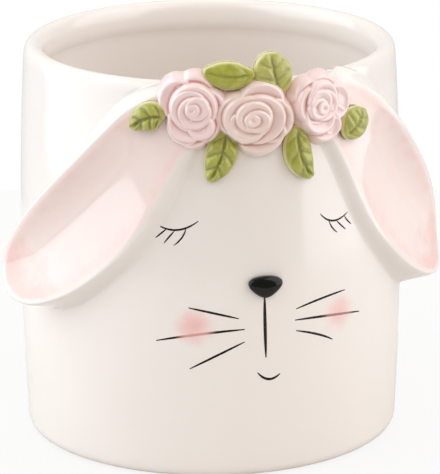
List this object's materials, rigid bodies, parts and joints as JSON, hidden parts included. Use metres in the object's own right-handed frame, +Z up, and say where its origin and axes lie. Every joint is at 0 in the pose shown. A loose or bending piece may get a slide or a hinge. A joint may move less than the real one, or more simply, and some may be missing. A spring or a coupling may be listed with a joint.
{
  "type": "flower pot",
  "caption": "Ceramic cover pot shaped as a sleeping rabbit, with drooping dished ears, a crown of moulded roses and leaves, and a small domed nose.",
  "frame": {"origin": "middle of the flat base, on the axis of the pot", "axes": "+Z up along the axis of the pot, -Y towards the viewer of the face, +X towards the ear on the viewer's right"},
  "size_m": [0.1527, 0.1354, 0.1443],
  "materials": {
    "white_glaze": "gloss",
    "ear_glaze": "gloss",
    "rose_glaze": "gloss",
    "leaf_glaze": "gloss",
    "nose_glaze": "gloss"
  },
  "bodies": {
    "root": {"pot_shell": "white_glaze", "left_ear": "ear_glaze", "right_ear": "ear_glaze", "rose_centre": "rose_glaze", "rose_left": "rose_glaze", "rose_right": "rose_glaze", "leaf_left": "leaf_glaze", "leaf_right": "leaf_glaze", "leaf_lower_left": "leaf_glaze", "leaf_lower_right": "leaf_glaze", "leaf_top_left": "leaf_glaze", "leaf_top_right": "leaf_glaze", "nose": "nose_glaze"}
  },
  "joints": []
}
